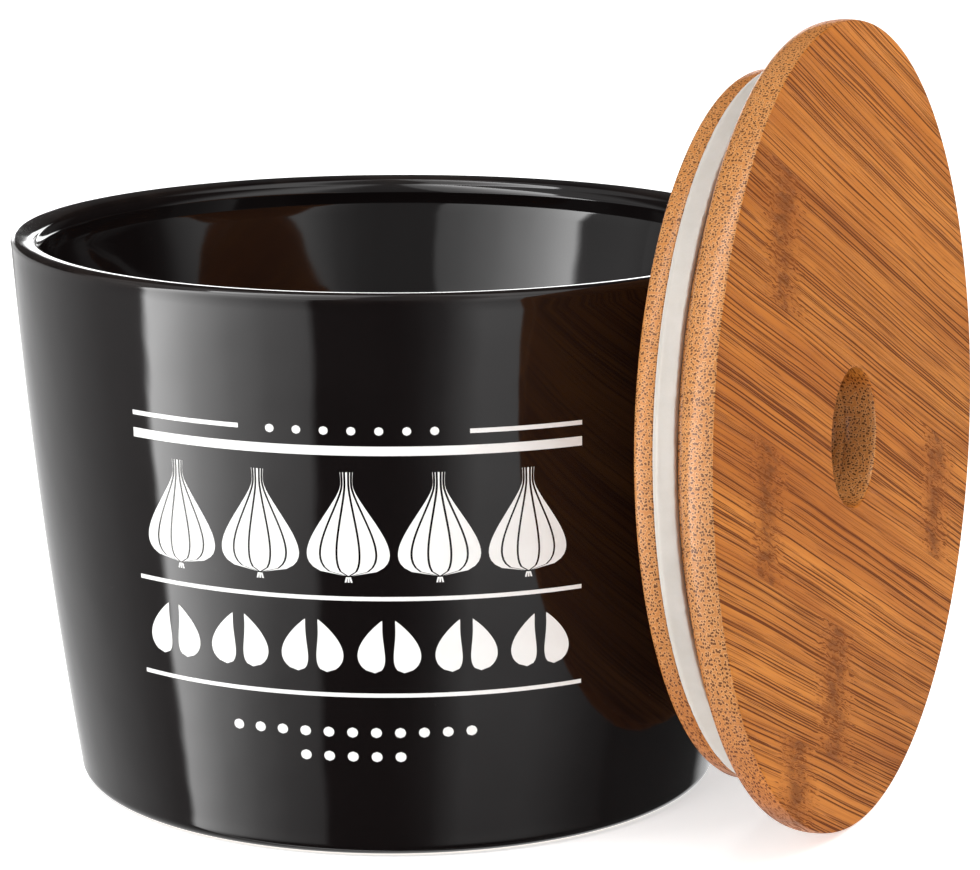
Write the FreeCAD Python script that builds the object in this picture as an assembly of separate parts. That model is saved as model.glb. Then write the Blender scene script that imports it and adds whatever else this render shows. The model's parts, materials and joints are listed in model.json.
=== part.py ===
import FreeCAD, Part
import math
import os
from FreeCAD import Placement, Rotation, Vector

os.makedirs("parts", exist_ok=True)

# A stoneware garlic keeper with a bamboo lid, in millimetres.
# The bowl stands on z = 0 round the Z axis, and its printed front faces -Y.
# The lid stands on its edge beside the bowl and leans on the bowl's rim.

# Bowl
rim_radius = 75.0         # outside of the mouth
bowl_height = 108.0
base_radius = 63.0        # where the outer wall would meet the table
wall_bulge = 1.24         # how far the wall bows out from a straight cone
rim_wall = 6.0            # wall at the mouth
floor_thickness = 6.0
lip_depth = 3.0           # height of the lip that opens above the land
lip_flare = 0.7           # how far the lip opens past the land
land_depth = 5.6          # the straight land ends this far below the rim
flare_depth = 22.0        # the steep taper below the land ends this far below the rim
flare_angle = 14.0        # that taper's slope from upright
well_angle = 5.0          # slope of the inside wall lower down
flare_blend = 60.0        # radius of the curve that joins the two slopes
foot_corner = 2.6
rim_outer_round = 1.2
rim_inner_round = 0.8
well_corner = 9.0         # fillet between the floor and the inside wall

# Lid, two bamboo boards glued face to face
cover_overhang = 1.2      # cover past the bowl's rim
cover_thickness = 6.4
edge_width = 1.9          # how far the rounded edge runs in
edge_belly = 4.3          # height of the widest line above the cover's underside
plug_clearance = 1.9      # plug inside the mouth
plug_depth = 11.8
plug_ease = 0.6           # small chamfer round the plug's lower edge
hole_radius = 13.2        # vent hole, which is also the finger hole
hole_offset = 1.9         # the hole lies this far below the lid's middle
hole_ease = 0.4           # chamfer round the hole at the top face

# Seal, a silicone band in a groove round the plug
groove_top = 3.5          # groove's upper edge below the cover
groove_width = 4.6
groove_depth = 4.0
seal_clearance = 0.9      # seal inside the mouth
seal_play = 0.1           # seal inside its groove, each way
seal_step = 0.7           # thin flash step along the seal's lower edge

# How the lid leans
lean_azimuth = -17.9      # where the lid stands, counted from +X
lean_angle = 2.84         # tilt from upright, towards the bowl
lean_gap = 0.3            # air between the lid and the rim that it leans on

mouth_radius = rim_radius - rim_wall
plug_radius = mouth_radius - plug_clearance
seal_radius = mouth_radius - seal_clearance
cover_radius = rim_radius + cover_overhang


def arc(a, b, c):
    """Edge through three points, each given as radius and height."""
    return Part.Arc(*(Vector(r, 0, z) for r, z in (a, b, c))).toShape()


def line(a, b):
    """Straight edge between two points, each given as radius and height."""
    return Part.makeLine(Vector(a[0], 0, a[1]), Vector(b[0], 0, b[1]))


def turned(edges):
    """Solid that a closed outline makes when it turns round the Z axis."""
    face = Part.Face(Part.Wire(edges))
    solid = face.revolve(Vector(0, 0, 0), Vector(0, 0, 1), 360)
    return solid if solid.Volume > 0 else solid.reversed()


def outline(points):
    """Closed outline of straight edges through the points."""
    return [line(a, b) for a, b in zip(points, points[1:] + points[:1])]


def ring_edges(solid, radius, height):
    """Circular edges of a solid at one radius and height."""
    found = []
    for edge in solid.Edges:
        curve = edge.Curve
        if isinstance(curve, Part.Circle) and abs(curve.Radius - radius) < 0.01:
            if abs(curve.Center.z - height) < 0.01:
                found.append(edge)
    return found


def outer_radius(z):
    """Radius of the bowl's outside at a height, before its corners are rounded."""
    share = z / bowl_height
    cone = base_radius + (rim_radius - base_radius) * share
    return cone + 4 * wall_bulge * share * (1 - share)


def along_slope(point, angle, height):
    """Point reached at a height by going down a slope, an angle from upright, from a point."""
    return (point[0] - (point[1] - height) * math.tan(math.radians(angle)), height)


def blend_point(start, angle):
    """Point on the curve that leaves the steep taper at start, where its slope is angle."""
    first, here = math.radians(flare_angle), math.radians(angle)
    inward = flare_blend * (math.cos(here) - math.cos(first))
    down = flare_blend * (math.sin(first) - math.sin(here))
    return (start[0] - inward, start[1] - down)


def make_bowl():
    """Open bowl: a bowed conical wall, a flat base, and a lip and a straight land in the mouth."""
    foot = (base_radius, 0)
    rim = (rim_radius, bowl_height)
    lip = (mouth_radius + lip_flare, bowl_height)
    lip_middle = (mouth_radius + lip_flare / 3, bowl_height - lip_depth / 2)
    land_top = (mouth_radius, bowl_height - lip_depth)
    land_end = (mouth_radius, bowl_height - land_depth)
    flare_end = along_slope(land_end, flare_angle, bowl_height - flare_depth)
    blend_end = blend_point(flare_end, well_angle)
    well = along_slope(blend_end, well_angle, floor_thickness)
    edges = [
        line((0, 0), foot),
        arc(foot, (outer_radius(bowl_height / 2), bowl_height / 2), rim),
        line(rim, lip),
        arc(lip, lip_middle, land_top),
        line(land_top, land_end),
        line(land_end, flare_end),
        arc(flare_end, blend_point(flare_end, (flare_angle + well_angle) / 2), blend_end),
        line(blend_end, well),
        line(well, (0, floor_thickness)),
        line((0, floor_thickness), (0, 0)),
    ]
    bowl = turned(edges)
    bowl = bowl.makeFillet(well_corner, ring_edges(bowl, *well))
    bowl = bowl.makeFillet(foot_corner, ring_edges(bowl, *foot))
    bowl = bowl.makeFillet(rim_inner_round, ring_edges(bowl, *lip))
    return bowl.makeFillet(rim_outer_round, ring_edges(bowl, *rim))


def hole_tool(low, high):
    """Cylinder that cuts the vent hole between two heights in the lid's own frame."""
    return Part.makeCylinder(hole_radius, high - low, Vector(hole_offset, 0, low))


def make_cover():
    """Cover board, with a rounded edge that ends in a crisp line round the top face."""
    inner = cover_radius - edge_width
    rise = (cover_thickness - edge_belly) / edge_belly
    top_radius = inner + edge_width * math.sqrt(1 - rise * rise)
    low = math.radians(45)
    under = (inner + edge_width * math.cos(low), edge_belly * (1 - math.sin(low)))
    lift = math.asin(rise) / 2
    over = (inner + edge_width * math.cos(lift), edge_belly * (1 + math.sin(lift)))
    edges = [
        line((0, 0), (inner, 0)),
        arc((inner, 0), under, (cover_radius, edge_belly)),
        arc((cover_radius, edge_belly), over, (top_radius, cover_thickness)),
        line((top_radius, cover_thickness), (0, cover_thickness)),
        line((0, cover_thickness), (0, 0)),
    ]
    board = turned(edges).cut(hole_tool(-1, cover_thickness + 1))
    return board.makeChamfer(hole_ease, ring_edges(board, hole_radius, cover_thickness))


def make_plug():
    """Plug board, with the seal's groove and an eased lower edge."""
    groove_floor = plug_radius - groove_depth
    groove_low = -groove_top - groove_width
    points = [
        (0, 0),
        (plug_radius, 0),
        (plug_radius, -groove_top),
        (groove_floor, -groove_top),
        (groove_floor, groove_low),
        (plug_radius, groove_low),
        (plug_radius, plug_ease - plug_depth),
        (plug_radius - plug_ease, -plug_depth),
        (0, -plug_depth),
    ]
    return turned(outline(points)).cut(hole_tool(-plug_depth - 1, 1))


def make_seal():
    """Silicone band that fills the groove and stands a little proud of the plug."""
    inside = plug_radius - groove_depth + seal_play
    top = -groove_top - seal_play
    bottom = -groove_top - groove_width + seal_play
    shoulder = (plug_radius + seal_radius) / 2
    points = [
        (inside, bottom),
        (shoulder, bottom),
        (shoulder, bottom + seal_step),
        (seal_radius, bottom + seal_step),
        (seal_radius, top),
        (inside, top),
    ]
    return turned(outline(points))


def lean():
    """Placement that stands the lid on its edge and leans its plug on the rim."""
    tilt = math.radians(lean_angle)
    belly = cover_radius - edge_width
    # Height of the lid's centre, with its rounded edge on the table.
    reach = edge_width * edge_width * math.cos(tilt) ** 2 + edge_belly * edge_belly * math.sin(tilt) ** 2
    centre_z = belly * math.cos(tilt) + math.sqrt(reach) - edge_belly * math.sin(tilt)
    # The plug's face clears the highest point of the rim's outer round by lean_gap.
    slope = (rim_radius - base_radius - 4 * wall_bulge) / bowl_height
    touch_r = rim_radius - rim_outer_round * (slope + math.sqrt(1 + slope * slope))
    touch_z = bowl_height - rim_outer_round
    plane = touch_r * math.cos(tilt) + touch_z * math.sin(tilt) + rim_outer_round + lean_gap
    centre_r = (plane + plug_depth - centre_z * math.sin(tilt)) / math.cos(tilt)
    upright = Placement(Vector(0, 0, 0), Rotation(Vector(0, 1, 0), 90 - lean_angle))
    turn = Placement(Vector(0, 0, 0), Rotation(Vector(0, 0, 1), lean_azimuth))
    return turn.multiply(Placement(Vector(centre_r, 0, centre_z), upright.Rotation))


def main():
    """Make each piece and write it to its own file."""
    leaning = lean()
    pieces = {"bowl": make_bowl()}
    lid = {"lid_cover_board": make_cover(), "lid_plug_board": make_plug(), "seal_ring": make_seal()}
    for name, shape in lid.items():
        shape.Placement = leaning.multiply(shape.Placement)
        pieces[name] = shape
    for name, shape in pieces.items():
        box = shape.BoundBox
        print(name, shape.ShapeType, shape.isValid(), len(shape.Solids), round(shape.Volume),
              [round(v, 2) for v in (box.XMin, box.YMin, box.ZMin, box.XMax, box.YMax, box.ZMax)])
        shape.Solids[0].exportStep(f"parts/{name}.step")
    axis = leaning.Rotation.multVec(Vector(0, 0, 1))
    print("lid centre", leaning.Base, "axis", axis)
    print("gap to the bowl", pieces["bowl"].distToShape(pieces["lid_plug_board"])[0])


main()
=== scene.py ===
# %% [markdown]
# # A stoneware garlic keeper with a bamboo lid
# The real keeper is four pieces: a fired bowl under a near-black glaze, two bamboo boards glued
# into a lid, and a silicone band in a groove round the lid's plug. The lid stands on its edge
# beside the bowl and leans on the rim.
# The solids already fix every size. This lesson gives each piece a finer surface, worked out with
# numpy, and a finish made of shader nodes.

# %% Load the frame
import json
import math

import bpy
import numpy as np
from mathutils import Matrix, Vector


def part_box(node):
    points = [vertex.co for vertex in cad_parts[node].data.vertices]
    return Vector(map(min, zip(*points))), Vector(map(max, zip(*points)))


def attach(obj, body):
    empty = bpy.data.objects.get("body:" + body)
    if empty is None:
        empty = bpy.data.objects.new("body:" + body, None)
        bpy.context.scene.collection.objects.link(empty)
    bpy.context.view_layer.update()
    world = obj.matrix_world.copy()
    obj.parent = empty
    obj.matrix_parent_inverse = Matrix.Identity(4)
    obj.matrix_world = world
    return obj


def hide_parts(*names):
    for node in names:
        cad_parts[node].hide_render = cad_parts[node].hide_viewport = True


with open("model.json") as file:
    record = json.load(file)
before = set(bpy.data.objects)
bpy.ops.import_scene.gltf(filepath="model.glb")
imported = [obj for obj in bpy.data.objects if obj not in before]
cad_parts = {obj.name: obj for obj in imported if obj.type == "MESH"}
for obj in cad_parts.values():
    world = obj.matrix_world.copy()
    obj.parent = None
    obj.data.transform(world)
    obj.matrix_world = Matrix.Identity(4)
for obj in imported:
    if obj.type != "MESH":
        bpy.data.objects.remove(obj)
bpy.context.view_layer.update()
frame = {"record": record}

# %% [markdown]
# ## Where things are
# A lathe-turned piece needs only its axis and its outline. The bowl's axis is Z. The lid's axis
# is the axis of its vent hole, which the record states, and the lid's middle is found from the
# cover board's own points, so nothing here repeats a place that the frame already holds.

# %% Measure the pieces
MM = 0.001


def points_of(node):
    """All corners of a node's mesh, one row each, in metres."""
    mesh = bpy.data.objects[node].data
    flat = np.empty(len(mesh.vertices) * 3)
    mesh.vertices.foreach_get("co", flat)
    return flat.reshape(-1, 3)


def unit(v):
    """The vector divided by its own length."""
    v = np.asarray(v, float)
    return v / np.linalg.norm(v)


def middle(values):
    """Half-way between the smallest and the largest value."""
    return (values.min() + values.max()) / 2


mounts = {m["name"]: m for m in frame["record"]["mounts"]}
lid_axis = unit(mounts["vent_hole"]["axis"])
lid_across = unit(np.cross((0, 0, 1), lid_axis))
lid_up = np.cross(lid_axis, lid_across)
cover = points_of("lid_cover_board")
plug = points_of("lid_plug_board")
seal = points_of("seal_ring")
lid_centre = (middle(cover @ lid_across) * lid_across + middle(cover @ lid_up) * lid_up
              + (cover @ lid_axis).min() * lid_axis)


def lathe_size(points):
    """Largest radius, lowest and highest place along the lid's axis."""
    rel = points - lid_centre
    along = rel @ lid_axis
    radius = np.linalg.norm(rel - np.outer(along, lid_axis), axis=1)
    return radius.max(), along.min(), along.max()


cover_r, cover_low, cover_high = lathe_size(cover)
plug_r, plug_low, plug_high = lathe_size(plug)
seal_r, seal_low, seal_high = lathe_size(seal)
hole_r = mounts["vent_hole"]["dims"]["r_mm"] * MM
hole_at = np.array(mounts["vent_hole"]["pos_m"]) - lid_centre
hole_x, hole_y = float(hole_at @ lid_across), float(hole_at @ lid_up)
bowl_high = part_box("bowl")[1]
rim_r, bowl_h = bowl_high[0], bowl_high[2]
mouth_r = mounts["mouth"]["dims"]["r_mm"] * MM
print("cover", cover_r, cover_low, cover_high, "plug", plug_r, plug_low, plug_high)
print("seal", seal_r, seal_low, seal_high, "hole", hole_r, hole_x, hole_y)
print("rim", rim_r, bowl_h, "mouth", mouth_r)

# %% [markdown]
# ## Surfaces as grids
# Each piece is a grid of points. One direction runs along the outline, the other runs round the
# axis. `grid_mesh` turns such an array into quads without a loop over points, and closes it
# either way where the shape runs back into itself.

# %% Grid helpers


def quads_of(index):
    """Faces between neighbouring rows and columns of a grid of point numbers."""
    quads = np.stack([index[:-1, :-1], index[:-1, 1:], index[1:, 1:], index[1:, :-1]], axis=-1)
    return quads.reshape(-1, 4)


def grid_mesh(name, grid, wrap_rows=False, wrap_columns=True):
    """Object from an array of rows x columns x 3, with quads between neighbours."""
    rows, columns = grid.shape[:2]
    index = np.arange(rows * columns).reshape(rows, columns)
    if wrap_rows:
        index = np.vstack([index, index[:1]])
    if wrap_columns:
        index = np.hstack([index, index[:, :1]])
    mesh = bpy.data.meshes.new(name)
    mesh.from_pydata(grid.reshape(-1, 3), [], quads_of(index))
    mesh.shade_smooth()
    thing = bpy.data.objects.new(name, mesh)
    bpy.context.collection.objects.link(thing)
    return thing


def finish_piece(thing, body, slot, material, *nodes):
    """Give a piece its finish, hang it on the body that it rides on, and hide the nodes that it stands for.
    """
    thing.data.materials.append(material)
    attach(thing, body)
    if nodes:
        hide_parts(*nodes)
    print(thing.name, len(thing.data.polygons), "faces")
    return thing


def arc_points(centre, radius, start, end, count):
    """Points on a circle's arc, angles in degrees, as radius and height."""
    angle = np.radians(np.linspace(start, end, count))
    return np.stack([centre[0] + radius * np.cos(angle), centre[1] + radius * np.sin(angle)], axis=1)


# %% [markdown]
# ## The bowl
# A pressed stoneware bowl has a wall that bows out a little. Its foot is wiped
# clean of glaze so that it doesn't stick in the kiln, and stands on a narrow ring. The outline is
# walked from the middle of the underside, up the outside, over the rim and down into the well,
# and then turned round the axis.

# %% Bowl outline
BASE_R = 63.0 * MM
WALL_BULGE = 1.24 * MM
FLOOR = 6.0 * MM
FOOT_CORNER = 2.6 * MM
FOOT_RING = 6.5 * MM
FOOT_RECESS = 1.4 * MM
RIM_OUTER_ROUND = 1.2 * MM
RIM_INNER_ROUND = 1.5 * MM
CROWN_WIDTH = 2.0 * MM
CROWN_DROP = 0.2 * MM
LIP_DEPTH = 3.0 * MM
LIP_FLARE = 1.1 * MM
LAND_DEPTH = 5.6 * MM
FLARE_DEPTH = 22.0 * MM
FLARE_ANGLE = 14.0
WELL_ANGLE = 5.0
FLARE_BLEND = 60.0 * MM
WELL_CORNER = 9.0 * MM
LIP_POWER = 1.6           # how fast the lip's opening closes on the land
RIM_EDGE_END = 172.0      # where the rim's inner round ends, in degrees round its own circle
SOFTEN = 0.3 * MM         # how much of each end of the land is left to the curve
BOWL_COLUMNS = 320


def wall_radius(z):
    """Outside of the bowl at height z: a cone with a parabola's bulge added."""
    share = z / bowl_h
    return BASE_R + (rim_r - BASE_R) * share + 4 * WALL_BULGE * share * (1 - share)


def rim_inside():
    """Rim inwards from its outer round: a crown that falls as the square of the way, then an arc
    that leaves it at the same slope and is widened evenly to end at the lip."""
    lip_r = mouth_r + LIP_FLARE
    inner_r = lip_r + RIM_INNER_ROUND
    t = np.linspace(0, 1, 9)
    crown = np.stack([inner_r + CROWN_WIDTH * (1 - t), bowl_h - CROWN_DROP * t ** 2], axis=1)
    slope = math.atan(2 * CROWN_DROP / CROWN_WIDTH)
    centre = (inner_r + RIM_INNER_ROUND * math.sin(slope),
              bowl_h - CROWN_DROP - RIM_INNER_ROUND * math.cos(slope))
    edge = arc_points(centre, RIM_INNER_ROUND, 90 + math.degrees(slope), RIM_EDGE_END, 9)
    edge[:, 0] += np.linspace(0, lip_r - edge[-1, 0], 9)
    return np.vstack([crown, edge[1:]])


def bowl_inside():
    """Outline from the rim to the middle of the well: the lip's opening shrinks as a power of the
    way down to a straight land, then come a steep taper, an arc into the well's wall and a fillet."""
    rim = rim_inside()
    lip_z = bowl_h - LIP_DEPTH
    t = np.linspace(0.08, 1, 8)
    lip = np.stack([mouth_r + LIP_FLARE * (1 - t) ** LIP_POWER,
                    rim[-1, 1] + (lip_z - rim[-1, 1]) * t], axis=1)
    land_z = bowl_h - LAND_DEPTH
    land = np.array([(mouth_r, lip_z - SOFTEN), (mouth_r, land_z + SOFTEN)])
    first = math.radians(FLARE_ANGLE)
    z = np.linspace(land_z - SOFTEN, bowl_h - FLARE_DEPTH, 10)
    flare = np.stack([mouth_r - (land_z - z) * math.tan(first), z], axis=1)
    turn = np.radians(np.linspace(FLARE_ANGLE, WELL_ANGLE, 9)[1:])
    inward, down = np.cos(turn) - math.cos(first), math.sin(first) - np.sin(turn)
    blend = flare[-1] - FLARE_BLEND * np.stack([inward, down], axis=1)
    incline = math.radians(WELL_ANGLE)
    well_z = np.linspace(blend[-1, 1], FLOOR + WELL_CORNER, 20)[1:]
    well_r = blend[-1, 0] - (blend[-1, 1] - well_z) * math.tan(incline)
    well = np.stack([well_r, well_z], axis=1)
    centre = (well_r[-1] - WELL_CORNER / math.cos(incline), FLOOR + WELL_CORNER)
    corner = arc_points(centre, WELL_CORNER, -WELL_ANGLE, -90, 14)
    floor = np.array([(corner[-1, 0] * s, FLOOR) for s in (0.8, 0.5, 0.2, 0)])
    return np.vstack([rim, lip, land, flare, blend, well, corner, floor])


def bowl_outline():
    """Outline from the middle underneath to the middle of the well."""
    stand_r = wall_radius(FOOT_CORNER) - FOOT_CORNER
    ring_r = stand_r - FOOT_RING
    under = np.array([(0, FOOT_RECESS), (ring_r * 0.5, FOOT_RECESS), (ring_r - 1.5 * MM, FOOT_RECESS),
                      (ring_r - 0.5 * MM, FOOT_RECESS * 0.7), (ring_r, 0.2 * MM), (ring_r + 0.4 * MM, 0),
                      (stand_r - 0.5 * MM, 0)])
    foot = arc_points((stand_r, FOOT_CORNER), FOOT_CORNER, -90, -7, 14)
    z = np.linspace(FOOT_CORNER + 0.5 * MM, bowl_h - RIM_OUTER_ROUND - 0.5 * MM, 60)
    wall = np.stack([wall_radius(z), z], axis=1)
    outer = arc_points((rim_r - RIM_OUTER_ROUND, bowl_h - RIM_OUTER_ROUND), RIM_OUTER_ROUND, 0, 90, 12)
    return np.vstack([under, foot, wall, outer, bowl_inside()])


def turned(outline, count):
    """Grid of an outline turned round Z: each column is the outline at one azimuth."""
    angle = np.linspace(0, 2 * np.pi, count, endpoint=False)
    r, z = outline[:, :1], outline[:, 1:]
    return np.stack([r * np.cos(angle), r * np.sin(angle), z + 0 * angle], axis=-1)


print("bowl outline", len(bowl_outline()), "points")


# %% [markdown]
# ## The print
# The front carries white enamel fired onto the glaze. The plain ruled lines stay. Between them,
# in three bands, stand plain rows of garlic bulbs, cloves and dots. Each motif is a patch: its
# left and right edges are curves of height. The flat artwork is wrapped round the wall by turning
# its width into an angle, with its middle a hair proud of the glaze and its border sunk into it,
# so that no edge floats.

# %% Print on the wall
PRINT_LIFT = 0.05 * MM
PRINT_SINK = 0.10 * MM


def with_border(values):
    """The values with both ends doubled, so that a patch has a border to sink."""
    return np.concatenate([values[:1], values, values[-1:]])


def wrapped(x, z):
    """Flat patch of widths x and heights z, both grids, bent round the front of the wall."""
    lift = np.full(x.shape, PRINT_LIFT)
    lift[0, :] = lift[-1, :] = -PRINT_SINK
    lift[:, 0] = lift[:, -1] = -PRINT_SINK
    azimuth = -math.pi / 2 + x / wall_radius(z)
    r = wall_radius(z) + lift
    return np.stack([r * np.cos(azimuth), r * np.sin(azimuth), z], axis=-1)


def ruled_line(z, width, left, right):
    """Ruled line at height z, from left to right of the front's middle."""
    across = with_border(np.linspace(left, right, 90))
    up = with_border(np.linspace(-width / 2, width / 2, 3))
    zz, xx = np.meshgrid(z + up, across, indexing="ij")
    return wrapped(xx, zz)


def band(x0, z0, tall, left, right, steps=26):
    """Patch between two edges, each a function of v from 0 at the bottom to 1 at the top."""
    v = np.linspace(0, 1, steps)
    u = with_border(np.linspace(0, 1, 5))
    low, high = left(v), right(v)
    high = np.maximum(high, low)
    vv = with_border(v)
    low, high = with_border(low), with_border(high)
    x = x0 + low[:, None] + u * (high - low)[:, None]
    return wrapped(x, z0 + tall * vv[:, None] + 0 * x)


def bulb_half(v):
    """Half-width of a bulb: a belly, a sine of a power of v, and a thin neck, joined as the fourth
    root of their fourth powers, so that the wider one wins with no corner."""
    belly = np.sin(np.pi * np.clip(v, 0, 1) ** 0.55) ** 0.75 * (1 - np.clip(v, 0, 1)) ** 0.55
    neck = 0.13 + 0.05 * v ** 4
    return (belly ** 4 / 0.5 + neck ** 4) ** 0.25


def garlic_bulb(x, z, width, height, gap=0.2 * MM):
    """Bulb cut into five cloves by lines that meet at the root and the neck, with rootlets."""
    cuts = (-1.0, -0.66, -0.27, 0.27, 0.66, 1.0)
    patches = []
    for low, high in zip(cuts, cuts[1:]):
        left = lambda v, s=low: s * bulb_half(v) * width / 2 + gap
        right = lambda v, s=high: s * bulb_half(v) * width / 2 - gap
        patches.append(band(x, z, height, left, right))
    for s in (-1, 0, 1):
        root = lambda v, s=s: s * 0.55 * MM - s * 0.25 * MM * v - 0.16 * MM
        edge = lambda v, root=root: root(v) + 0.32 * MM
        patches.append(band(x, z - 1.3 * MM, 1.0 * MM, root, edge, 6))
    return patches


def clove(x, z, width, height, bend):
    """Single clove: half-width a sine of a power of v, about a middle line that is a parabola."""
    half = lambda v: width / 2 * np.sin(np.pi * v ** 0.6) ** 0.85
    line = lambda v: bend * (v - 0.35) ** 2
    return band(x, z, height, lambda v: line(v) - half(v), lambda v: line(v) + half(v), 20)


def dot(x, z, size):
    """Round dot: half-width the root of v times 1 - v."""
    half = lambda v: size * np.sqrt(np.clip(v * (1 - v), 0, 1))
    return band(x, z, size, lambda v: -half(v), half, 10)


def join_grids(name, grids):
    """One object from several open grids."""
    points, quads, first = [], [], 0
    for grid in grids:
        rows, columns = grid.shape[:2]
        index = first + np.arange(rows * columns).reshape(rows, columns)
        points.append(grid.reshape(-1, 3))
        quads.append(quads_of(index))
        first += rows * columns
    mesh = bpy.data.meshes.new(name)
    mesh.from_pydata(np.vstack(points), [], np.vstack(quads))
    mesh.shade_flat()
    thing = bpy.data.objects.new(name, mesh)
    bpy.context.collection.objects.link(thing)
    return thing


print("bulb's half-widths up its height", bulb_half(np.linspace(0, 1, 6)).round(2))

# %% [markdown]
# ## The lid
# Both boards are discs with a hole that sits a little off the middle. A disc like that isn't a
# plain turned shape: the inner rings are circles about the hole, the outer ones about the lid's
# middle. So each ring has its own centre, and the rings between are blends.

# %% Lid rings


def lid_point(x, y, z):
    """Place a point of the lid's own frame, given across, up and along its axis."""
    return (lid_centre + x[..., None] * lid_across + y[..., None] * lid_up + z[..., None] * lid_axis)


def holed_disc(outline, hole_top, hole_low, top_ease, low_ease, count=256, blends=10):
    """Closed grid: hole wall, top face, turned outline, bottom face, back to the hole."""
    angle = np.linspace(0, 2 * np.pi, count, endpoint=False)
    c, s = np.cos(angle), np.sin(angle)
    rings = []

    def ring(r, z, share):
        """Circle whose centre slides from the hole (share 0) to the lid's middle (share 1)."""
        k = 1 - share
        rings.append(np.stack([r * c + k * hole_x, r * s + k * hole_y, np.full(count, z)], axis=-1))

    for t in np.linspace(0, 1, 6):
        ring(hole_r, hole_low + low_ease + (hole_top - hole_low - low_ease - top_ease) * t, 0)
    ring(hole_r + 0.3 * top_ease, hole_top - 0.3 * top_ease, 0)
    ring(hole_r + top_ease, hole_top, 0)
    ring(hole_r + top_ease + 0.1 * MM, hole_top, 0)
    face_r = outline[0, 0]
    for t in np.linspace(0, 1, blends + 2)[1:-1]:
        ring(hole_r + top_ease + (face_r - hole_r - top_ease) * t, hole_top, t)
    for r, z in outline:
        ring(r, z, 1)
    low_r = outline[-1, 0]
    for t in np.linspace(1, 0, blends + 2)[1:-1]:
        ring(hole_r + low_ease + (low_r - hole_r - low_ease) * t, hole_low, t)
    ring(hole_r + low_ease + 0.1 * MM, hole_low, 0)
    ring(hole_r + low_ease, hole_low, 0)
    ring(hole_r + 0.3 * low_ease, hole_low + 0.3 * low_ease, 0)
    local = np.stack(rings)
    return lid_point(local[..., 0], local[..., 1], local[..., 2])


EDGE_WIDTH = 1.9 * MM     # how far the cover's rounded side runs in
EDGE_BELLY = 4.3 * MM     # height of its widest line
HOLE_EASE = 0.4 * MM
GLUE_EASE = 0.02 * MM
GROOVE_DEPTH = 4.0 * MM
GROOVE_EASE = 0.25 * MM
PLUG_EASE = 0.7 * MM
SEAL_PLAY = 0.1 * MM
SEAL_PROUD = 0.45 * MM    # how far the thin step stands out of the plug
SEAL_STEP = 0.55 * MM     # height of that step
SEAL_SKIN = 0.12 * MM     # room inside the solid's radius for the ragged flash


def cover_outline():
    """Top rim line, crisp edge, rounded side and underside of the cover board."""
    inner = cover_r - EDGE_WIDTH
    top = math.asin((cover_high - EDGE_BELLY) / EDGE_BELLY)
    angle = np.linspace(top, -math.pi / 2, 26)
    side = np.stack([inner + EDGE_WIDTH * np.cos(angle), EDGE_BELLY * (1 + np.sin(angle))], axis=1)
    crisp = side[0] - (0.25 * MM, 0)
    brink = np.array([crisp - (0.6 * MM, 0), crisp, side[0] - (0.02 * MM, 0.03 * MM)])
    return np.vstack([brink, side[1:], [(inner - 2 * MM, 0)]])


def plug_outline():
    """Side of the plug board from its glued face down, with the seal's groove."""
    groove_floor = plug_r - GROOVE_DEPTH
    groove_top, groove_low = seal_high + SEAL_PLAY, seal_low - SEAL_PLAY
    e, third = GROOVE_EASE, GROOVE_EASE * 0.3
    return np.array([
        (plug_r - 1 * MM, plug_high), (plug_r, plug_high), (plug_r, groove_top + e),
        (plug_r - third, groove_top + third), (plug_r - e, groove_top), (groove_floor, groove_top),
        (groove_floor, groove_low), (plug_r - e, groove_low), (plug_r - third, groove_low - third),
        (plug_r, groove_low - e), (plug_r, plug_low + PLUG_EASE), (plug_r - e, plug_low + e),
        (plug_r - PLUG_EASE, plug_low), (plug_r - 2 * MM, plug_low)])


def seal_outline():
    """Section of the silicone band, walked round once from its upper inner corner."""
    inside = plug_r - GROOVE_DEPTH + SEAL_PLAY
    shoulder = plug_r + SEAL_PROUD
    low = seal_low + 0.05 * MM
    step = low + SEAL_STEP
    out = seal_r - SEAL_SKIN
    return np.array([
        (inside, seal_high), (out - 1.0 * MM, seal_high), (out - 0.3 * MM, seal_high - 0.02 * MM),
        (out - 0.05 * MM, seal_high - 0.10 * MM), (out, seal_high - 0.3 * MM),
        (out - 0.1 * MM, seal_high - 1.2 * MM), (out - 0.1 * MM, step + 0.8 * MM),
        (out - 0.05 * MM, step + 0.25 * MM), (out - 0.15 * MM, step + 0.06 * MM),
        (shoulder + 0.1 * MM, step), (shoulder, step - 0.12 * MM), (shoulder, low + 0.12 * MM),
        (shoulder - 0.15 * MM, low), (inside, low)])


UPPER_EDGE, UPPER_BRINK, SIDE = slice(2, 5), slice(3, 5), slice(5, 7)
LOWER_EDGE, STEP_EDGE = slice(7, 10), slice(11, 13)


def ragged(count, amount, seed, smooth_over=2):
    """Small random steps round a ring, softened a little, the same each time."""
    rough = np.random.default_rng(seed).normal(0, amount, count)
    for _ in range(smooth_over):
        rough = (np.roll(rough, 1) + 2 * rough + np.roll(rough, -1)) / 4
    return rough


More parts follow.
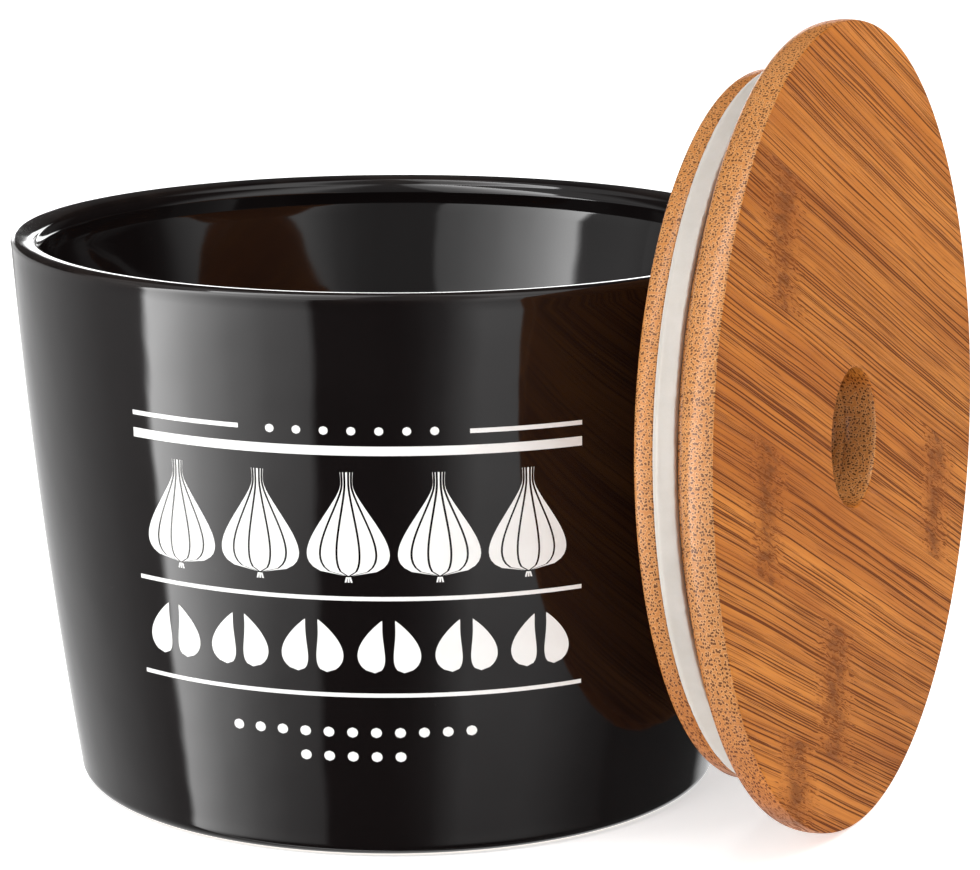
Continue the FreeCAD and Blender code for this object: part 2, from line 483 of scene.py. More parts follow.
def seal_grid(count=1024):
    """Seal turned round the lid's axis, with a ragged moulding flash along both outer edges: each
    edge's points of the outline rise and fall together by a softened random step."""
    outline = seal_outline()
    angle = np.linspace(0, 2 * np.pi, count, endpoint=False)
    r = outline[:, :1] + 0 * angle
    z = outline[:, 1:] + 0 * angle
    z[UPPER_EDGE] += np.minimum(ragged(count, 0.09 * MM, 3) - 0.06 * MM, 0.02 * MM)
    r[UPPER_BRINK] += np.minimum(ragged(count, 0.06 * MM, 5), 0.1 * MM)
    z[LOWER_EDGE] += ragged(count, 0.10 * MM, 11)
    z[STEP_EDGE] += np.maximum(ragged(count, 0.05 * MM, 7), 0)
    r[SIDE] += 0.05 * MM * np.sin(angle * 5 + 1) * np.sin(angle * 13)
    return lid_point(r * np.cos(angle), r * np.sin(angle), z)


print("outlines: cover", len(cover_outline()), "plug", len(plug_outline()), "seal", len(seal_outline()))


# %% [markdown]
# ## Node helpers
# A material is a small graph. These helpers add a node, set its values and link it in one call,
# so that each finish below reads as a list of steps.

# %% Node helpers


def new_material(name):
    """Empty material with its Principled node and that node's graph."""
    material = bpy.data.materials.new(name)
    material.use_nodes = True
    tree = material.node_tree
    return material, tree, tree.nodes["Principled BSDF"]


def add(tree, kind, inputs=None, **settings):
    """Add a node, set its properties, then set or link its inputs."""
    node = tree.nodes.new(kind)
    for key, value in settings.items():
        setattr(node, key, value)
    for key, value in (inputs or {}).items():
        if isinstance(value, bpy.types.NodeSocket):
            tree.links.new(value, node.inputs[key])
        else:
            node.inputs[key].default_value = value
    return node


def maths(tree, operation, a, b=0.0, c=0.0):
    """Math node's result."""
    return add(tree, "ShaderNodeMath", {0: a, 1: b, 2: c}, operation=operation).outputs[0]


def times(tree, a, b):
    """Product of two values."""
    return maths(tree, "MULTIPLY", a, b)


def plus(tree, a, b):
    """Sum of two values."""
    return maths(tree, "ADD", a, b)


def minus(tree, a, b):
    """First value less the second."""
    return maths(tree, "SUBTRACT", a, b)


def smooth(tree, value, low, high, to_low=0.0, to_high=1.0):
    """Smooth step of a value from low to high."""
    node = add(tree, "ShaderNodeMapRange", {"Value": value, "From Min": low, "From Max": high,
                                            "To Min": to_low, "To Max": to_high})
    node.interpolation_type = "SMOOTHSTEP"
    return node.outputs["Result"]


def noise(tree, vector, scale, detail=3.0, roughness=0.5):
    """Noise texture's value at a vector."""
    node = add(tree, "ShaderNodeTexNoise", {"Vector": vector, "Scale": scale, "Detail": detail,
                                            "Roughness": roughness})
    return node.outputs["Fac"]


def mix_colour(tree, share, a, b, blend="MIX"):
    """Mix node's colour."""
    node = add(tree, "ShaderNodeMix", {0: share}, data_type="RGBA", blend_type=blend)
    for key, value in ((6, a), (7, b)):
        if isinstance(value, bpy.types.NodeSocket):
            tree.links.new(value, node.inputs[key])
        else:
            node.inputs[key].default_value = value
    return node.outputs[2]


def mix_value(tree, share, a, b):
    """Mix node's value."""
    return add(tree, "ShaderNodeMix", {0: share, 2: a, 3: b}, data_type="FLOAT").outputs[0]


def scaled(tree, vector, scale):
    """Vector times three factors."""
    return add(tree, "ShaderNodeVectorMath", {0: vector, 1: scale}, operation="MULTIPLY").outputs[0]


def object_coords(tree):
    """The piece's own coordinates, in metres."""
    return add(tree, "ShaderNodeTexCoord").outputs["Object"]


def bump(tree, height, strength, distance):
    """Normal tilted by a height in metres."""
    return add(tree, "ShaderNodeBump", {"Height": height, "Strength": strength,
                                        "Distance": distance}).outputs["Normal"]


# %% [markdown]
# ## Glaze
# A glossy near-black glaze is a dark base under a mirror-like glass. Three things keep it from
# looking like plastic: it is never quite level, so reflections swim a little; it thins on sharp
# edges and lets the brown body through; and a few pinholes and dust specks break the gloss.

# %% Glaze material


def glaze_material():
    """Near-black glaze, browner where it thins at the rim and foot, bare clay under the foot."""
    material, tree, shader = new_material("glaze")
    place = object_coords(tree)
    split = add(tree, "ShaderNodeSeparateXYZ", {0: place})
    height = split.outputs["Z"]
    mottled = noise(tree, place, 55.0, 5.0, 0.6)
    fine = noise(tree, place, 900.0, 3.0, 0.6)
    edge = smooth(tree, height, bowl_h - 2.2 * MM, bowl_h - 0.1 * MM)
    thin = times(tree, edge, smooth(tree, mottled, 0.3, 0.75))
    colour = mix_colour(tree, mottled, (0.0042, 0.0030, 0.0030, 1), (0.0066, 0.0050, 0.0050, 1))
    colour = mix_colour(tree, times(tree, thin, 0.25), colour, (0.045, 0.032, 0.026, 1))
    speck = smooth(tree, fine, 0.73, 0.80)
    colour = mix_colour(tree, times(tree, speck, 0.35), colour, (0.05, 0.045, 0.042, 1))
    bare = smooth(tree, height, 0.12 * MM, 0.02 * MM)
    clay = mix_colour(tree, fine, (0.52, 0.44, 0.35, 1), (0.66, 0.58, 0.48, 1))
    tree.links.new(mix_colour(tree, bare, colour, clay), shader.inputs["Base Color"])
    rough = plus(tree, 0.045, times(tree, mottled, 0.05))
    rough = plus(tree, rough, times(tree, speck, 0.25))
    rough = plus(tree, rough, times(tree, bare, 0.75))
    tree.links.new(rough, shader.inputs["Roughness"])
    swim = plus(tree, noise(tree, place, 38.0, 2.0), times(tree, fine, 0.006))
    tree.links.new(bump(tree, swim, 0.35, 0.0006), shader.inputs["Normal"])
    shader.inputs["IOR"].default_value = 1.52
    return material


glaze = glaze_material()
print(glaze.name, len(glaze.node_tree.nodes), "nodes")

# %% [markdown]
# ## Enamel
# The print is white enamel fired onto the glaze, so it is less glossy than the glaze and covers it
# a little unevenly. Plain white would look like a sticker: a fine grain dulls it, and where that
# grain is strongest the cover wears thin.

# %% Print material


def print_material():
    """Fired white enamel: slightly matt, a little uneven in cover."""
    material, tree, shader = new_material("print_white")
    place = object_coords(tree)
    grain = noise(tree, place, 2600.0, 4.0, 0.7)
    cloud = noise(tree, place, 160.0, 3.0)
    colour = mix_colour(tree, cloud, (0.80, 0.80, 0.78, 1), (0.88, 0.88, 0.87, 1))
    worn = smooth(tree, grain, 0.70, 0.80)
    colour = mix_colour(tree, times(tree, worn, 0.4), colour, (0.35, 0.34, 0.33, 1))
    tree.links.new(colour, shader.inputs["Base Color"])
    rough = plus(tree, 0.34, times(tree, grain, 0.2))
    tree.links.new(rough, shader.inputs["Roughness"])
    tree.links.new(bump(tree, grain, 0.2, 0.00005), shader.inputs["Normal"])
    return material


enamel = print_material()
print(enamel.name, len(enamel.node_tree.nodes), "nodes")


# %% [markdown]
# ## Bamboo
# A bamboo board is edge-glued strips, and bamboo is thousands of dark fibre bundles in a pale
# pith, all running one way. A bundle is a line where the board is cut along it and a dot where it
# is cut across. So the pattern is a flat field of round cells across the fibre, carried along it
# without end: the same cells give lines on the face and dots on the edge and in the hole, with no
# seam between them. The cells drift slowly in depth, so that the lines start and stop. Each strip
# gets its own tone, and the dark joint of its cane where chosen.

# %% Bamboo group
FIBRE_TURN = -24.2
STRIP = 24.1 * MM
STRIP_FROM = 10.8 * MM
NODE_AT = (-10.0, 5.5, -43.0, 55.0, -50.0, 120.0, 120.0)
NODE_TILT = -0.28
NODE_REACH = 130.0        # farthest place in millimetres that the ramp of joints can hold
RAMP_STRIPS = 8           # strips that the ramp has room for
CELL_SCATTER = 0.85
MAIN_BUNDLES = (0.60 * MM, 0.25, 70 * MM, 1.1 * MM, 0.0)
SMALL_BUNDLES = (0.35 * MM, 0.23, 45 * MM, 0.7 * MM, 0.31)
PITH_DARK = (0.370, 0.108, 0.011, 1)
PITH_PALE = (0.560, 0.200, 0.030, 1)
PITH_SILK = (0.290, 0.072, 0.006, 1)
END_PALE = (0.62, 0.310, 0.120, 1)
END_WARM = (0.46, 0.185, 0.050, 1)
BUNDLE_FACE = (0.108, 0.022, 0.002, 1)
BUNDLE_END = (0.095, 0.026, 0.004, 1)
JOINT_DARK = (0.140, 0.037, 0.004, 1)
JOINT_TINT = (0.29, 0.076, 0.007, 1)


def fibre_frame():
    """Turn that takes the lid's frame to one with X along the fibres and Z out of the top."""
    turn = math.radians(FIBRE_TURN)
    along = math.cos(turn) * lid_across + math.sin(turn) * lid_up
    across = -math.sin(turn) * lid_across + math.cos(turn) * lid_up
    return Matrix(np.stack([along, across, lid_axis], axis=1).tolist())


def strip_values(group, place):
    """Strips across the board, numbered from below: the strip's number, the share of its width, a
    random value of its own, and the place moved along, because each strip is another cane."""
    y = add(group, "ShaderNodeSeparateXYZ", {0: place}).outputs[1]
    lane = maths(group, "DIVIDE", minus(group, y, STRIP_FROM - 4 * STRIP), STRIP)
    strip = maths(group, "FLOOR", lane)
    share = maths(group, "FRACT", lane)
    luck = add(group, "ShaderNodeTexWhiteNoise", {"W": strip}, noise_dimensions="1D").outputs["Value"]
    shift = {0: times(group, luck, 3.0), 1: times(group, strip, 0.7)}
    shift = add(group, "ShaderNodeCombineXYZ", shift).outputs[0]
    own = add(group, "ShaderNodeVectorMath", {0: place, 1: shift}, operation="ADD").outputs[0]
    return strip, share, luck, own


def joint_distance(group, place, strip, share, own):
    """Distance from the strip's joint: a line across it that leans, made ragged by noise."""
    x = add(group, "ShaderNodeSeparateXYZ", {0: place}).outputs[0]
    ramp = add(group, "ShaderNodeValToRGB", {0: maths(group, "DIVIDE", plus(group, strip, 0.5), RAMP_STRIPS)})
    ramp.color_ramp.interpolation = "CONSTANT"
    while len(ramp.color_ramp.elements) < len(NODE_AT):
        ramp.color_ramp.elements.new(0.5)
    for i, at in enumerate(NODE_AT):
        stop = ramp.color_ramp.elements[i]
        stop.position = i / RAMP_STRIPS
        level = (at + NODE_REACH) / (2 * NODE_REACH)
        stop.color = (level, level, level, 1)
    node_x = times(group, minus(group, ramp.outputs["Color"], 0.5), 2 * NODE_REACH * MM)
    lean = times(group, minus(group, share, 0.5), NODE_TILT * STRIP)
    rag = noise(group, scaled(group, own, (70, 260, 90)), 1.0, 4.0, 0.65)
    rag = times(group, minus(group, rag, 0.5), 15 * MM)
    return maths(group, "ABSOLUTE", plus(group, minus(group, minus(group, x, node_x), lean), rag))


def wandering(group, own, near):
    """Place moved across the fibres: slowly along the cane, and quickly near its joint."""
    slow = noise(group, scaled(group, own, (9, 30, 30)), 1.0, 2.0)
    quick = noise(group, scaled(group, own, (230, 420, 300)), 1.0, 2.0)
    sway = times(group, minus(group, slow, 0.5), 3.0 * MM)
    swing = times(group, minus(group, quick, 0.5), times(group, near, 1.8 * MM))
    moved = add(group, "ShaderNodeCombineXYZ", {1: plus(group, sway, swing), 2: swing}).outputs[0]
    return add(group, "ShaderNodeVectorMath", {0: own, 1: moved}, operation="ADD").outputs[0]


def bundles(group, own, ends, pitch, core, drift_length, drift, seed):
    """Dark cores of a field of cells, a pitch apart, that drift in and out of the board's face,
    and the distance from the nearest cell's middle."""
    sides = add(group, "ShaderNodeSeparateXYZ", {0: own}).outputs
    wander = noise(group, scaled(group, own, (1 / drift_length, 1100, 1100)), 1.0, 2.0)
    depth = plus(group, times(group, minus(group, wander, 0.5), drift), seed)
    depth = plus(group, sides[2], depth)
    section = {0: times(group, sides[1], 1 / pitch), 1: times(group, depth, 1 / pitch)}
    section = add(group, "ShaderNodeCombineXYZ", section).outputs[0]
    settings = {"Vector": section, "Scale": 1.0, "Randomness": CELL_SCATTER}
    cells = add(group, "ShaderNodeTexVoronoi", settings, voronoi_dimensions="2D")
    luck = add(group, "ShaderNodeSeparateColor", {0: cells.outputs["Color"]}).outputs[0]
    size = plus(group, 0.75, times(group, luck, 0.5))
    reach = maths(group, "DIVIDE", cells.outputs["Distance"], size)
    reach = maths(group, "DIVIDE", reach, plus(group, 1.0, times(group, ends, 0.15)))
    return smooth(group, reach, core * 1.15, core * 0.9), cells.outputs["Distance"]


def fibre_share(group, own, ends):
    """Share of dark fibre, the most of large bundles, small ones and hairs, and the distance from
    the nearest large one. Hairs and most small ones show only along the fibre."""
    main, main_far = bundles(group, own, ends, *MAIN_BUNDLES)
    small = bundles(group, own, ends, *SMALL_BUNDLES)[0]
    hair = noise(group, scaled(group, own, (11, 3000, 900)), 1.0, 3.0, 0.6)
    hair = smooth(group, hair, 0.54, 0.68)
    along = minus(group, 1.0, ends)
    small = times(group, small, plus(group, 0.12, times(group, along, 0.48)))
    fibre = maths(group, "MAXIMUM", main, small)
    return maths(group, "MAXIMUM", fibre, times(group, hair, times(group, along, 0.5))), main_far


def pith_colour(group, own, ends, luck, silk, main_far):
    """Pith between the bundles: slow clouds, silk and the strip's tone, and honey on the ends."""
    cloud = noise(group, scaled(group, own, (8, 90, 90)), 1.0, 3.0, 0.6)
    pale = mix_colour(group, smooth(group, cloud, 0.3, 0.7), PITH_DARK, PITH_PALE)
    pale = mix_colour(group, times(group, smooth(group, silk, 0.35, 0.75), 0.5), pale, PITH_SILK)
    tone = plus(group, 0.95, times(group, luck, 0.10))
    tone = add(group, "ShaderNodeCombineColor", {0: tone, 1: tone, 2: tone}).outputs[0]
    pale = mix_colour(group, 1.0, pale, tone, "MULTIPLY")
    honey = mix_colour(group, smooth(group, main_far, 0.30, 0.62), END_PALE, END_WARM)
    return mix_colour(group, times(group, ends, 0.9), pale, honey)


def new_bamboo_group():
    """Empty group with the sockets of the bamboo's look."""
    group = bpy.data.node_groups.new("bamboo_grain", "ShaderNodeTree")
    for name, way, kind in (("Vector", "INPUT", "Vector"), ("Ends", "INPUT", "Float"),
                            ("Color", "OUTPUT", "Color"), ("Roughness", "OUTPUT", "Float"),
                            ("Height", "OUTPUT", "Float")):
        group.interface.new_socket(name, in_out=way, socket_type="NodeSocket" + kind)
    return group


def bamboo_group():
    """Group: vector in the fibre frame and share of end grain to the look of bamboo."""
    group = new_bamboo_group()
    start = group.nodes.new("NodeGroupInput")
    end = group.nodes.new("NodeGroupOutput")
    place, ends = start.outputs["Vector"], start.outputs["Ends"]
    strip, share, luck, own = strip_values(group, place)
    far = joint_distance(group, place, strip, share, own)
    joint = smooth(group, far, 7.0 * MM, 1.5 * MM)
    near = smooth(group, far, 15 * MM, 1 * MM)
    own = wandering(group, own, near)
    fibre, main_far = fibre_share(group, own, ends)
    silk = noise(group, scaled(group, own, (40, 3000, 3000)), 1.0, 3.0, 0.65)
    pale = pith_colour(group, own, ends, luck, silk, main_far)
    dark = mix_colour(group, ends, BUNDLE_FACE, BUNDLE_END)
    colour = mix_colour(group, times(group, fibre, 0.92), pale, dark)
    # The joint is a soft tint with darker, swirled blotches in it.
    swirl = noise(group, scaled(group, own, (150, 520, 320)), 1.0, 4.0, 0.55)
    blotch = smooth(group, swirl, 0.38, 0.64)
    stain = times(group, joint, plus(group, 0.16, times(group, blotch, 0.56)))
    colour = mix_colour(group, times(group, near, 0.45), colour, JOINT_TINT)
    colour = mix_colour(group, stain, colour, JOINT_DARK)
    # A thin dark line of glue lies between two strips.
    glue = smooth(group, maths(group, "ABSOLUTE", minus(group, share, 0.5)), 0.494, 0.499)
    colour = mix_colour(group, times(group, glue, 0.3), colour, BUNDLE_FACE)
    rough = plus(group, 0.36, plus(group, times(group, fibre, 0.26), times(group, silk, 0.1)))
    sunk = plus(group, times(group, fibre, 0.8), times(group, stain, 0.3))
    tall = minus(group, times(group, silk, 0.12), sunk)
    for name, value in (("Color", colour), ("Roughness", rough), ("Height", tall)):
        group.links.new(value, end.inputs[name])
    return group


bamboo_grain = bamboo_group()
print(bamboo_grain.name, len(bamboo_grain.nodes), "nodes")

# %% [markdown]
# ## Oiled boards
# Both boards use the same grain, and the plug's is moved along so that the two don't match. How
# far the surface faces along the fibre says whether it is end grain, which drinks more oil, so
# the clear coat is stronger there.

# %% Bamboo materials
BOARD_COAT = 0.06
COAT_ROUGHNESS = 0.24
BOARD_SPECULAR = 0.12


def bamboo_material(name, offset, relief, gloss):
    """Oiled bamboo, its pattern set in the lid's fibre frame and moved by an offset."""
    material, tree, shader = new_material(name)
    coords = add(tree, "ShaderNodeTexCoord")
    turn = tuple(fibre_frame().to_euler())
    seat = {"Vector": coords.outputs["Object"], "Location": tuple(lid_centre), "Rotation": turn}
    place = add(tree, "ShaderNodeMapping", seat, vector_type="TEXTURE").outputs[0]
    place = add(tree, "ShaderNodeVectorMath", {0: place, 1: offset}, operation="ADD").outputs[0]
    facing = {"Vector": coords.outputs["Normal"], "Rotation": turn}
    facing = add(tree, "ShaderNodeMapping", facing, vector_type="TEXTURE").outputs[0]
    along = maths(tree, "ABSOLUTE", add(tree, "ShaderNodeSeparateXYZ", {0: facing}).outputs[0])
    ends = smooth(tree, along, 0.25, 0.8)
    grain = add(tree, "ShaderNodeGroup", node_tree=bamboo_grain)
    tree.links.new(place, grain.inputs["Vector"])
    tree.links.new(ends, grain.inputs["Ends"])
    tree.links.new(grain.outputs["Color"], shader.inputs["Base Color"])
    tree.links.new(grain.outputs["Roughness"], shader.inputs["Roughness"])
    tree.links.new(bump(tree, grain.outputs["Height"], relief, 0.00012), shader.inputs["Normal"])
    coat = plus(tree, BOARD_COAT, times(tree, ends, gloss))
    tree.links.new(coat, shader.inputs["Coat Weight"])
    shader.inputs["Specular IOR Level"].default_value = BOARD_SPECULAR
    shader.inputs["Coat Roughness"].default_value = COAT_ROUGHNESS
    return material


cover_finish = bamboo_material("bamboo_cover", (0, 0, 0), 0.8, 0.65)
plug_finish = bamboo_material("bamboo_plug", (0.31, 0.013, 0.0), 0.5, 0.4)
print(cover_finish.name, plug_finish.name, len(cover_finish.node_tree.nodes), "nodes each")


# %% [markdown]
# ## Silicone
# Food-grade silicone is milky: light goes in, scatters and comes out nearby, so it needs
# subsurface colour rather than plain white, with a faint bloom that dulls its gloss.

# %% Silicone material


def silicone_material():
    """Milky silicone: cloudy colour under a bloom that dulls its gloss unevenly."""
    material, tree, shader = new_material("silicone")
    place = object_coords(tree)
    bloom = noise(tree, place, 210.0, 4.0, 0.6)
    fine = noise(tree, place, 1900.0, 3.0, 0.6)
    colour = mix_colour(tree, bloom, (0.445, 0.42, 0.38, 1), (0.56, 0.53, 0.495, 1))
    tree.links.new(colour, shader.inputs["Base Color"])
    rough = plus(tree, 0.30, times(tree, bloom, 0.22))
    tree.links.new(rough, shader.inputs["Roughness"])
    tree.links.new(bump(tree, fine, 0.25, 0.00008), shader.inputs["Normal"])
    shader.inputs["Subsurface Weight"].default_value = 0.55
    shader.inputs["Subsurface Radius"].default_value = (0.0018, 0.0016, 0.0014)
    shader.inputs["Subsurface Scale"].default_value = 1.0
    return material


milky = silicone_material()
print(milky.name, len(milky.node_tree.nodes), "nodes")

# %% [markdown]
# ## Making the bowl
# On the real bowl, wall, rim, well and foot are one pressed piece. So here it is one closed
# surface: the outline turned round Z. It stands for the CAD bowl, which stays for collision.

# %% Make the bowl
bowl = grid_mesh("bowl_glazed", turned(bowl_outline(), BOWL_COLUMNS))
finish_piece(bowl, "bowl", "glaze", glaze, "bowl")

# %% [markdown]
# ## Making the print
# The ruled lines are long thin patches. Each row of motifs is a loop over one patch or a few, so
# its spacing is one number, and each row is one piece that rides on the bowl.

# %% Make the print
PRINT_LEFT = -43.4 * MM
PRINT_RIGHT = 44.0 * MM
THIN_LINE = 0.8 * MM
BULBS, BULB_PITCH, BULB_FOOT = 5, 16.6 * MM, 55.6 * MM
BULB_WIDTH, BULB_HEIGHT = 15.2 * MM, 19.6 * MM
CLOVE_PAIRS, PAIR_PITCH, CLOVE_APART, CLOVE_FOOT = 6, 14.2 * MM, 3.3 * MM, 36.8 * MM
CLOVE_WIDTH, CLOVE_HEIGHT, CLOVE_BEND = 5.0 * MM, 10.2 * MM, 5 * MM
DOT_PITCH, DOT_SIZE = 4.4 * MM, 2.0 * MM


def dot_row(count, pitch, z, size, middle_x=0.0):
    """Dots evenly spaced about a middle."""
    return [dot((k - (count - 1) / 2) * pitch + middle_x, z, size) for k in range(count)]


lines = [
    ruled_line(83.0 * MM, 0.85 * MM, PRINT_LEFT, -20.1 * MM),
    ruled_line(82.7 * MM, 0.85 * MM, 22.4 * MM, PRINT_RIGHT),
    ruled_line(79.2 * MM, 1.75 * MM, PRINT_LEFT, PRINT_RIGHT),
    ruled_line(51.2 * MM, THIN_LINE, PRINT_LEFT, PRINT_RIGHT),
    ruled_line(32.4 * MM, THIN_LINE, PRINT_LEFT, PRINT_RIGHT),
]
sprig = dot_row(7, 5.0 * MM, 82.1 * MM, 1.6 * MM, 1.0 * MM)
bulbs = []
for k in range(BULBS):
    bulbs += garlic_bulb((k - (BULBS - 1) / 2) * BULB_PITCH, BULB_FOOT, BULB_WIDTH, BULB_HEIGHT)
cloves = []
for pair in range(CLOVE_PAIRS):
    for side in (-1, 1):
        x = (pair - (CLOVE_PAIRS - 1) / 2) * PAIR_PITCH + side * CLOVE_APART
        cloves.append(clove(x, CLOVE_FOOT, CLOVE_WIDTH, CLOVE_HEIGHT, -side * CLOVE_BEND))
dots = dot_row(11, DOT_PITCH, 24.0 * MM, DOT_SIZE) + dot_row(5, DOT_PITCH, 19.2 * MM, DOT_SIZE)
for name, grids in (("print_rules", lines), ("print_sprig", sprig), ("print_bulbs", bulbs),
                    ("print_cloves", cloves), ("print_dots", dots)):
    finish_piece(join_grids(name, grids), "bowl", "glaze", enamel)

# %% [markdown]
# ## Making the lid
# The real lid is two boards glued face to face, with a band stretched into a groove. So it is
# three closed surfaces, all in the lid's own leaning frame, and all three ride on the lid.

# %% Make the lid
cover_rings = holed_disc(cover_outline(), cover_high, cover_low, HOLE_EASE, GLUE_EASE)
cover_piece = grid_mesh("cover_board", cover_rings, wrap_rows=True)
finish_piece(cover_piece, "lid", "bamboo", cover_finish, "lid_cover_board")
plug_rings = holed_disc(plug_outline(), plug_high, plug_low, GLUE_EASE, HOLE_EASE)
plug_piece = grid_mesh("plug_board", plug_rings, wrap_rows=True)
finish_piece(plug_piece, "lid", "bamboo", plug_finish, "lid_plug_board")
seal_piece = grid_mesh("silicone_band", seal_grid(), wrap_rows=True)
finish_piece(seal_piece, "lid", "silicone", milky, "seal_ring")

# %% [markdown]
# ## Inside out or not
# A grid can be walked so that its faces point inwards, and nothing shows it from outside. The
# signed volume does: it adds up small pyramids from the origin, and is negative when the faces
# point the wrong way.

# %% Check that faces point outwards


def volume(thing):
    """Signed volume of a closed mesh: positive when its faces point outwards."""
    mesh = thing.data
    mesh.calc_loop_triangles()
    corners = np.empty(len(mesh.loop_triangles) * 3, dtype=np.int64)
    mesh.loop_triangles.foreach_get("vertices", corners)
    points = np.empty(len(mesh.vertices) * 3)
    mesh.vertices.foreach_get("co", points)
    a, b, c = points.reshape(-1, 3)[corners.reshape(-1, 3)].transpose(1, 0, 2)
    return float(np.einsum("ij,ij->i", a, np.cross(b, c)).sum() / 6)


for thing in (bowl, cover_piece, plug_piece, seal_piece):
    if volume(thing) < 0:
        thing.data.flip_normals()
    print(thing.name, "volume", round(volume(thing) * 1e6, 2), "cm3")

# %% [markdown]
# ## Studio
# The camera is a long lens a little above the rim, placed and turned as the photograph's was. Its
# focal length is given in the photograph's pixels and made a lens by the sensor's width.

# %% Camera
CAMERA_DISTANCE = 0.76097
CAMERA_RAISED = 17.05
CAMERA_ROUND = 7.2
CAMERA_YAW = 1.46
CAMERA_PITCH = 12.15
FOCAL_PIXELS = 3750.7
PHOTO_WIDTH = 980
SENSOR_WIDTH = 36.0


def add_camera():
    """Camera at the photograph's viewing angle."""
    data = bpy.data.cameras.new("camera")
    camera = bpy.data.objects.new("camera", data)
    bpy.context.collection.objects.link(camera)
    raised = math.radians(CAMERA_RAISED)
    azimuth = math.radians(-90 + CAMERA_ROUND)
    reach = CAMERA_DISTANCE * math.cos(raised)
    camera.location = (reach * math.cos(azimuth), reach * math.sin(azimuth),
                       CAMERA_DISTANCE * math.sin(raised))
    camera.rotation_euler = (math.radians(90 - CAMERA_PITCH), 0,
                             math.radians(CAMERA_ROUND - CAMERA_YAW))
    data.sensor_width = SENSOR_WIDTH
    data.lens = FOCAL_PIXELS / PHOTO_WIDTH * data.sensor_width
    data.clip_start = 0.01
    data.clip_end = 20
    bpy.context.scene.camera = camera
    print("camera at", [round(v, 3) for v in camera.location], "lens", round(data.lens, 1), "mm")


add_camera()

# %% [markdown]
# ## Floor
# The keeper stands on plain pale paper that is nearly as white as the background. The sheet glows
# a little, so that only a soft shadow shows, and the glaze doesn't mirror it.

# %% Floor
FLOOR_HALF = 4.0
FLOOR_DROP = 0.2 * MM
FLOOR_GLOW = 0.6


def add_floor():
    """Pale floor, a wide flat sheet under the keeper, that the gloss doesn't mirror."""
    size = np.linspace(-FLOOR_HALF, FLOOR_HALF, 2)
    x, y = np.meshgrid(size, size)
    floor = grid_mesh("floor", np.stack([x, y, 0 * x - FLOOR_DROP], axis=-1), wrap_columns=False)
    material, _, shader = new_material("pale_floor")
    shader.inputs["Base Color"].default_value = (0.92, 0.92, 0.92, 1)
    shader.inputs["Roughness"].default_value = 0.8
    shader.inputs["Emission Color"].default_value = (1, 1, 1, 1)
    shader.inputs["Emission Strength"].default_value = FLOOR_GLOW
    floor.data.materials.append(material)
    floor.visible_glossy = False
    print(floor.name, 2 * FLOOR_HALF, "m wide")


add_floor()

# %% [markdown]
# ## Light
# Dark glaze shows only what it mirrors, so its studio is mostly what stands round it. The world
# holds that room: a brightness for each direction, read from a curve of stops. A tall panel at
# the left starts at a sharp edge and fades towards the front, a weaker one stands at the front
# right, and the paper behind is light grey, with a dark band just under level and a bright strip
# along the horizon that draws the thin line on the rim. Only mirrored rays see this room. All
# others meet an even soft light, and the camera sees plain white.

# %% Room
ROOM = (
    (-180, 0.42), (-161, 0.40), (-159, 8.6), (-153, 7.2), (-142, 4.4), (-130, 2.5), (-118, 1.5),
    (-105, 1.1), (-103, 0.03), (-80, 0.02), (-73, 0.08), (-65, 0.28), (-53, 1.25), (-30, 1.1),
    (-8, 0.4), (5, 0.08), (60, 0.08), (70, 1.0), (100, 1.05), (130, 0.8), (155, 0.7), (180, 0.45))
ROOM_PEAK = 10.0
ROOM_SHEAR = 0.2
LEFT_SHEAR = 0.22
PANEL_FOOT = -0.8
PANEL_RISE = 0.49
PANEL_LEAST = 0.03
PANEL_POWER = 1.25
PANEL_TOP = 1.15
TOP_LIGHT = 1.6
ROOM_FILL = 0.25
ABOVE_DARK = 0.95
UNDER_DARK = 0.9
GLOW = 4.0
SOFT_LIGHT = 0.35


def room_level(tree, x, y, z):
    """Brightness of the room by azimuth, whose stops lean a little as they rise."""
    azimuth = maths(tree, "ARCTAN2", y, x)
    azimuth = minus(tree, azimuth, times(tree, z, ROOM_SHEAR))
    rise = times(tree, maths(tree, "MAXIMUM", plus(tree, z, 0.3), 0.0), LEFT_SHEAR)
    rise = times(tree, rise, smooth(tree, z, 0.75, 0.5))
    azimuth = minus(tree, azimuth, times(tree, rise, smooth(tree, x, 0.0, -0.3)))
    share = plus(tree, maths(tree, "DIVIDE", azimuth, 2 * math.pi), 0.5)
    curve = add(tree, "ShaderNodeFloatCurve", {"Value": share})
    points = curve.mapping.curves[0].points
    while len(points) < len(ROOM):
        points.new(0.5, 0.5)
    for point, (degrees, level) in zip(points, ROOM):
        point.location = ((degrees + 180) / 360, level / ROOM_PEAK)
        point.handle_type = "VECTOR"
    curve.mapping.update()
    return times(tree, curve.outputs["Value"], ROOM_PEAK)


def front_light(tree, y, z, level):
    """Front panels: a power of height up to a cap, weaker above the rim and stronger near the
    top, and a faint even fill."""
    up = maths(tree, "DIVIDE", minus(tree, z, PANEL_FOOT), PANEL_RISE)
    panel = maths(tree, "POWER", maths(tree, "MAXIMUM", up, PANEL_LEAST), PANEL_POWER)
    panel = maths(tree, "MINIMUM", panel, PANEL_TOP)
    panel = times(tree, panel, smooth(tree, z, -0.05, 0.45, 1.0, 0.55))
    panel = times(tree, panel, smooth(tree, z, 0.5, 0.62, 1.0, TOP_LIGHT))
    front = smooth(tree, y, 0.1, -0.2)
    level = times(tree, level, mix_value(tree, front, 1.0, panel))
    fill = times(tree, times(tree, front, smooth(tree, z, -0.15, 0.1)), ROOM_FILL)
    return plus(tree, level, fill)


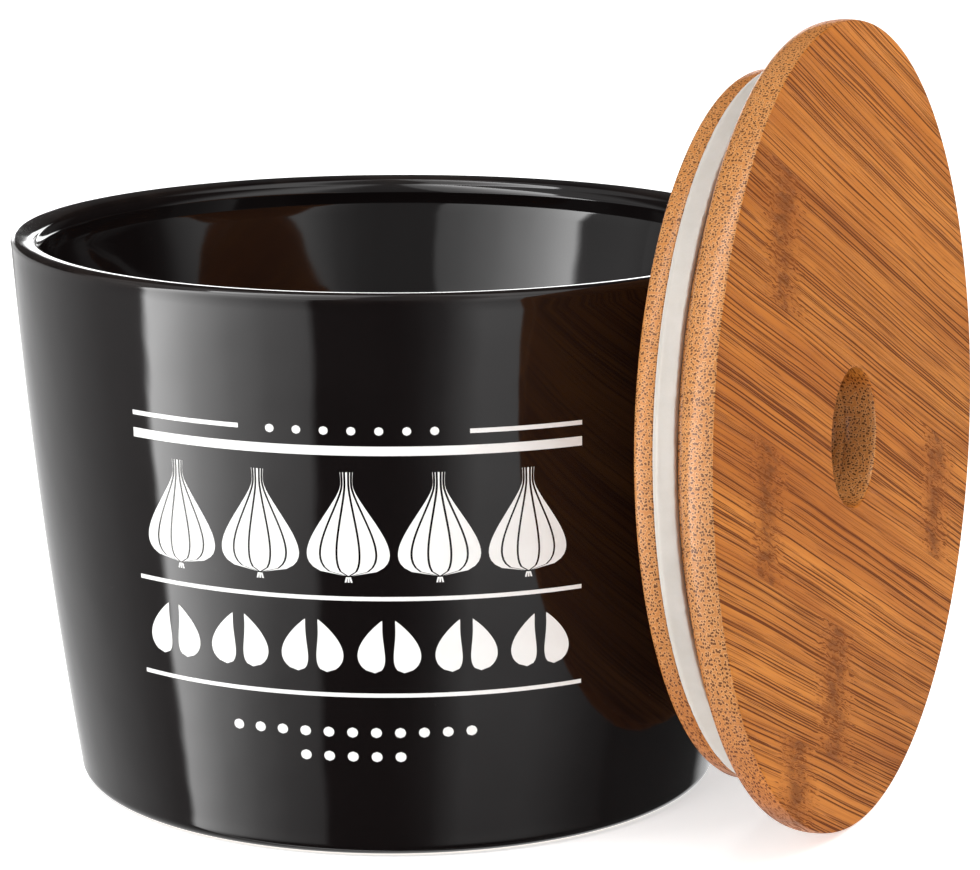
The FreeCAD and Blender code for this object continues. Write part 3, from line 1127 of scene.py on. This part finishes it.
def back_light(tree, y, z, level):
    """Backdrop: it ends a little above the rim, is dark just under level, so that the inside of
    the lip stays black, and has the bright strip along the horizon."""
    above = times(tree, smooth(tree, y, 0.0, 0.3), smooth(tree, z, 0.06, 0.14))
    level = times(tree, level, minus(tree, 1.0, times(tree, above, ABOVE_DARK)))
    behind = smooth(tree, y, 0.88, 0.93)
    under = times(tree, smooth(tree, z, -0.20, -0.15), smooth(tree, z, -0.02, -0.07))
    under = times(tree, under, behind)
    level = times(tree, level, minus(tree, 1.0, times(tree, under, UNDER_DARK)))
    strip = times(tree, smooth(tree, z, -0.07, -0.02), smooth(tree, z, 0.140, 0.128))
    strip = times(tree, strip, behind)
    return maths(tree, "MAXIMUM", level, times(tree, strip, GLOW))


def set_world():
    """World whose mirrored brightness depends on direction, and whose soft light is even."""
    world = bpy.data.worlds.new("studio")
    bpy.context.scene.world = world
    world.use_nodes = True
    tree = world.node_tree
    light = tree.nodes["Background"]
    towards = add(tree, "ShaderNodeTexCoord").outputs["Generated"]
    x, y, z = add(tree, "ShaderNodeSeparateXYZ", {0: towards}).outputs
    level = room_level(tree, x, y, z)
    level = back_light(tree, y, z, front_light(tree, y, z, level))
    path = add(tree, "ShaderNodeLightPath")
    level = mix_value(tree, path.outputs["Is Glossy Ray"], SOFT_LIGHT, level)
    level = mix_value(tree, path.outputs["Is Camera Ray"], level, 1.0)
    tree.links.new(level, light.inputs["Strength"])
    light.inputs["Color"].default_value = (1, 1, 1, 1)
    print("room of", len(ROOM), "stops,", len(tree.nodes), "nodes")


set_world()

# %% [markdown]
# ## Lamps
# Three soft square panels shape the bamboo, the band and the print. The glaze doesn't mirror
# them, because its reflections all come from the room above.

# %% Lamps
AIM_HEIGHT = 0.06
LAMPS = (
    # name, azimuth, height, distance, side, power, colour
    ("right_panel", 0, 1.3, 1.3, 1.0, 20, (1.0, 0.99, 0.97)),
    ("top_panel", -90, 2.0, 0.9, 1.2, 22, (1, 1, 1)),
    ("left_panel", -160, 0.9, 1.3, 0.8, 14, (1, 1, 1)),
)


def add_panel(name, azimuth, height, distance, side, power, colour):
    """Soft square panel at an azimuth, facing the keeper, that gloss doesn't mirror."""
    data = bpy.data.lights.new(name, "AREA")
    data.shape = "RECTANGLE"
    data.size, data.size_y = side, side
    data.energy = power
    data.color = colour
    lamp = bpy.data.objects.new(name, data)
    bpy.context.collection.objects.link(lamp)
    a = math.radians(azimuth)
    lamp.location = (distance * math.cos(a), distance * math.sin(a), height)
    aim = Vector((0, 0, AIM_HEIGHT)) - lamp.location
    lamp.rotation_euler = aim.to_track_quat("-Z", "Y").to_euler()
    lamp.visible_glossy = False
    print(name, power, "W")


for lamp in LAMPS:
    add_panel(*lamp)
bpy.context.scene.view_settings.view_transform = "Standard"
